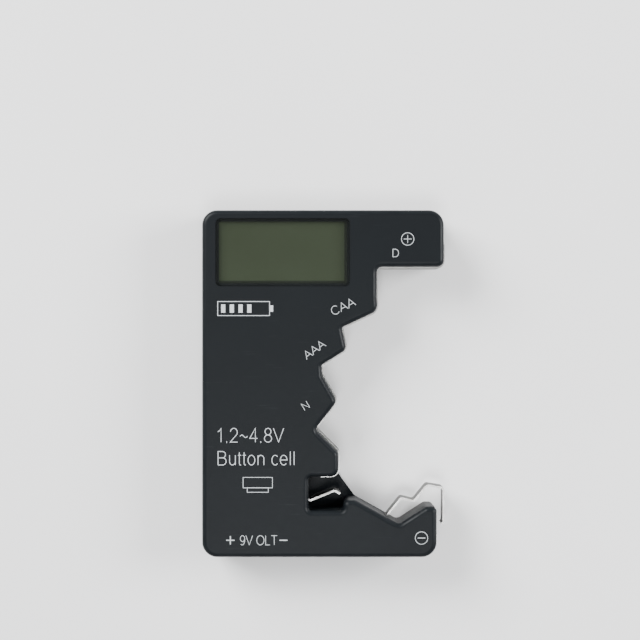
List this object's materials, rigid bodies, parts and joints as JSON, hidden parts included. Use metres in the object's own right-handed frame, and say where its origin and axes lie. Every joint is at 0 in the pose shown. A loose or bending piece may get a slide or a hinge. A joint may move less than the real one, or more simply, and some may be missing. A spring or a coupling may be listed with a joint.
{
  "type": "battery tester",
  "caption": "Flat handheld tester with a display, a stepped gap with a sprung contact that takes cylindrical cells, a slot for button cells and pads for a nine volt block.",
  "frame": {"origin": "middle of the outline's box, on the back face", "axes": "+X across the face towards the cell gap, +Y up the face to the display end, +Z out of the face"},
  "size_m": [0.0644, 0.092, 0.016],
  "materials": {
    "casing": "fine moulded grain, satin black",
    "window": "clear moulded lens",
    "display_glass": "polished",
    "film": "grey green polarising film",
    "holder": "white moulded frame",
    "zebra": "striped silicone rubber",
    "board": "green solder mask",
    "resin": "black epoxy drop",
    "resistor": "lacquered ceramic",
    "can": "sleeved can",
    "ferrite": "dull ferrite",
    "ceramic": "dull ceramic",
    "contact_metal": "nickel plated spring steel",
    "screw_steel": "zinc plated",
    "lead_red": "vinyl insulation",
    "lead_black": "vinyl insulation"
  },
  "bodies": {
    "casing": {"front_shell": "casing", "rear_cover": "casing", "display_window": "window", "circuit_board": "board", "case_screws": "screw_steel", "board_screws": "screw_steel", "stepped_strip": "contact_metal", "negative_anchor": "contact_metal", "button_anchor": "contact_metal", "nine_volt_positive": "contact_metal", "nine_volt_negative": "contact_metal", "chip_blob": "resin", "load_resistors": "resistor", "electrolytic_capacitor": "can", "boost_coil": "ferrite", "chip_resistors": "ferrite", "chip_capacitors": "ceramic", "display_front_film": "film", "display_front_glass": "display_glass", "display_rear_glass": "display_glass", "display_mirror_film": "film", "display_holder": "holder", "zebra_connector": "zebra", "positive_lead": "lead_red", "negative_lead": "lead_black", "button_lead": "lead_black", "nine_volt_positive_lead": "lead_red", "nine_volt_negative_lead": "lead_black"},
    "negative_leaf": {"negative_leaf": "contact_metal"},
    "button_leaf": {"button_leaf": "contact_metal"}
  },
  "joints": [
    {"name": "negative_leaf_flex", "type": "hinge", "parent": "casing", "child": "negative_leaf", "pos_m": [0.01718, -0.03501, 0.008], "axis": [0, 0, 1], "range_deg": [-13, 0], "stiffness_Nm_per_rad": 0.1},
    {"name": "button_leaf_flex", "type": "hinge", "parent": "casing", "child": "button_leaf", "pos_m": [-0.00336, -0.03126, 0.008], "axis": [0, 0, 1], "range_deg": [-18, 0], "stiffness_Nm_per_rad": 0.05}
  ]
}
